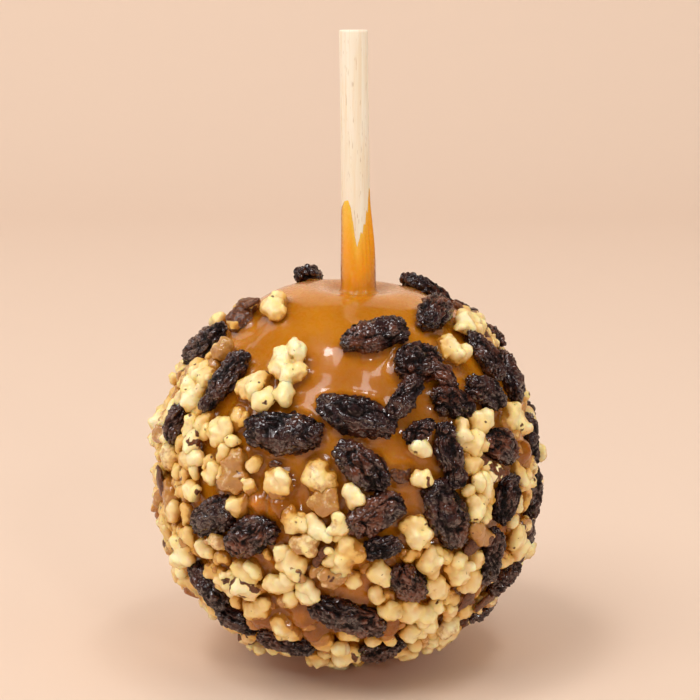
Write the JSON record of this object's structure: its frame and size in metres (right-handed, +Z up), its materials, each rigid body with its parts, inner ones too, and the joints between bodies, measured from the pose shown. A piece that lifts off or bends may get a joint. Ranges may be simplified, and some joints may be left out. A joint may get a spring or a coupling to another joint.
{
  "type": "caramel apple",
  "caption": "Caramel apple on a wooden stick: glossy caramel coat, bare at the crown, rolled in chopped walnuts and raisins.",
  "frame": {"origin": "middle of the flat spot the apple stands on", "axes": "+Z up the stick, -Y out of the front, where most of the caramel is bare, +X to the right seen from the front"},
  "size_m": [0.0877, 0.0887, 0.1433],
  "materials": {
    "caramel": "glossy, slightly translucent",
    "walnut": "matte, oily where broken",
    "raisin": "wrinkled, satin",
    "wood": "plain, sanded"
  },
  "bodies": {
    "root": {"caramel_coat": "caramel", "nut_crust": "walnut", "stick": "wood", "raisin_01": "raisin", "raisin_02": "raisin", "raisin_03": "raisin", "raisin_04": "raisin", "raisin_05": "raisin", "raisin_06": "raisin", "raisin_07": "raisin", "raisin_08": "raisin", "raisin_09": "raisin", "raisin_10": "raisin", "raisin_11": "raisin", "raisin_12": "raisin", "raisin_13": "raisin", "raisin_14": "raisin", "raisin_15": "raisin", "raisin_16": "raisin", "raisin_17": "raisin", "raisin_18": "raisin", "raisin_19": "raisin", "raisin_20": "raisin", "raisin_21": "raisin", "raisin_22": "raisin", "raisin_23": "raisin", "raisin_24": "raisin", "raisin_25": "raisin", "raisin_26": "raisin", "raisin_27": "raisin", "raisin_28": "raisin", "raisin_29": "raisin", "raisin_30": "raisin", "raisin_31": "raisin", "raisin_32": "raisin", "raisin_33": "raisin", "raisin_34": "raisin", "raisin_35": "raisin", "raisin_36": "raisin", "raisin_37": "raisin", "raisin_38": "raisin", "raisin_39": "raisin", "raisin_40": "raisin", "raisin_41": "raisin", "raisin_42": "raisin", "raisin_43": "raisin", "raisin_44": "raisin", "raisin_45": "raisin", "raisin_46": "raisin", "raisin_47": "raisin", "walnut_01": "walnut", "walnut_02": "walnut", "walnut_03": "walnut", "walnut_04": "walnut", "walnut_05": "walnut", "walnut_06": "walnut", "walnut_07": "walnut", "walnut_08": "walnut", "walnut_09": "walnut", "walnut_10": "walnut"}
  },
  "joints": []
}
